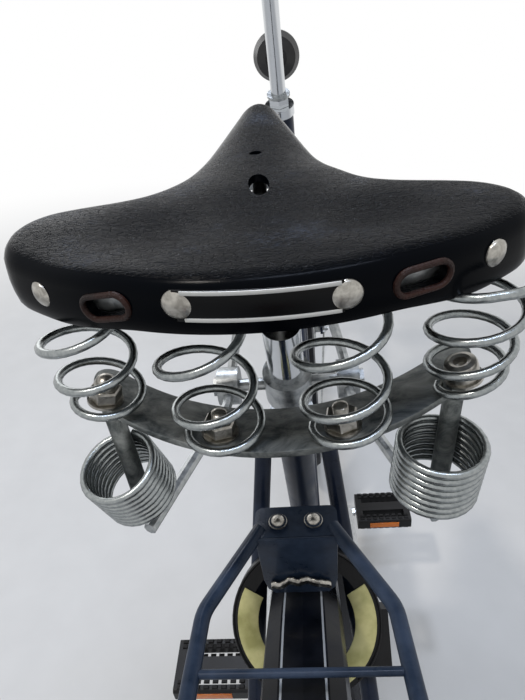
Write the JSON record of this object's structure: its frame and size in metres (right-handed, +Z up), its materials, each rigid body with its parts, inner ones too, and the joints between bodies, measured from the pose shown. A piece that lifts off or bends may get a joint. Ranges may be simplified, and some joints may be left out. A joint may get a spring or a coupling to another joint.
{
  "type": "city bicycle",
  "caption": "Upright city bicycle with a sprung leather saddle, tubular rear rack, full mudguards, closed chain case and side stand, parked leaning.",
  "frame": {"origin": "on the ground under the middle of the bounding box", "axes": "+Y forward along the bicycle, +X to the rider's right, +Z up; the bicycle leans 6 degrees to its left, towards -X, on its side stand"},
  "size_m": [0.6305, 1.816, 1.1696],
  "materials": {
    "paint": "dark blue-grey gloss enamel",
    "black_paint": "black gloss enamel",
    "hide": "black polished hide, finely creased",
    "galvanised": "zinc-plated steel",
    "chrome": "bright chrome plate",
    "alloy": "anodised alloy",
    "tyre": "black tyre rubber",
    "black_plastic": "black plastic",
    "case": "black gloss plastic",
    "grip": "black rubber",
    "lamp_red": "red lens in a black body"
  },
  "bodies": {
    "frame": {"head_tube": "paint", "headset_cups": "chrome", "bottom_bracket": "paint", "seat_tube": "paint", "down_tube": "paint", "upper_tube": "paint", "chain_stays": "paint", "seat_stays": "paint", "rear_dropouts": "paint", "seat_post": "chrome", "seat_collar": "galvanised", "saddle_leather": "hide", "cantle_plate": "galvanised", "bridge_plate": "galvanised", "saddle_springs": "galvanised", "spring_bolts": "galvanised", "coil_packs": "galvanised", "hanger_rods": "galvanised", "saddle_rails": "galvanised", "nose_iron": "galvanised", "saddle_clamp": "galvanised", "chain_case": "case", "rear_axle": "galvanised", "rear_mudguard": "black_paint", "rear_mudguard_stays": "galvanised", "rear_rack": "paint", "rack_bracket": "paint", "ring_lock": "black_plastic", "tail_lamp": "lamp_red", "stand_bracket": "black_paint"},
    "steering": {"fork": "paint", "stem": "chrome", "handlebar": "chrome", "grips": "grip", "brake_lever": "alloy", "bell": "chrome", "headlamp": "black_plastic", "lamp_bracket": "galvanised", "front_brake": "alloy", "front_mudguard": "black_paint", "front_mudguard_stays": "galvanised", "front_axle": "galvanised"},
    "front_wheel": {"front_tyre": "tyre", "front_rim": "alloy", "front_hub": "alloy", "front_spokes": "galvanised"},
    "rear_wheel": {"rear_tyre": "tyre", "rear_rim": "alloy", "rear_hub": "alloy", "rear_spokes": "galvanised"},
    "crankset": {"cranks": "alloy"},
    "right_pedal": {"pedal_right": "black_plastic"},
    "left_pedal": {"pedal_left": "black_plastic"},
    "side_stand": {"stand_leg": "black_paint"}
  },
  "joints": [
    {"name": "rear_wheel_spin", "type": "hinge", "parent": "frame", "child": "rear_wheel", "pos_m": [0.07963, -0.534, 0.35056], "axis": [0.9945, 0, 0.1045], "continuous": true},
    {"name": "steering_turn", "type": "hinge", "parent": "frame", "child": "steering", "pos_m": [0.03782, 0.35188, 0.74836], "axis": [-0.0982, -0.342, 0.9345], "range_deg": [-60, 60]},
    {"name": "front_wheel_spin", "type": "hinge", "parent": "steering", "child": "front_wheel", "pos_m": [0.07963, 0.556, 0.35056], "axis": [0.9945, 0, 0.1045], "continuous": true},
    {"name": "crank_spin", "type": "hinge", "parent": "frame", "child": "crankset", "pos_m": [0.08612, -0.079, 0.28889], "axis": [0.9945, 0, 0.1045], "continuous": true},
    {"name": "right_pedal_spin", "type": "hinge", "parent": "crankset", "child": "right_pedal", "pos_m": [0.09161, 0.08268, 0.23665], "axis": [0.9945, 0, 0.1045], "continuous": true},
    {"name": "left_pedal_spin", "type": "hinge", "parent": "crankset", "child": "left_pedal", "pos_m": [0.08063, -0.24068, 0.34114], "axis": [0.9945, 0, 0.1045], "continuous": true},
    {"name": "side_stand_fold", "type": "hinge", "parent": "frame", "child": "side_stand", "pos_m": [0.00153, -0.474, 0.29006], "axis": [-0.9514, 0.0872, 0.2955], "range_deg": [0, 99.3]}
  ]
}
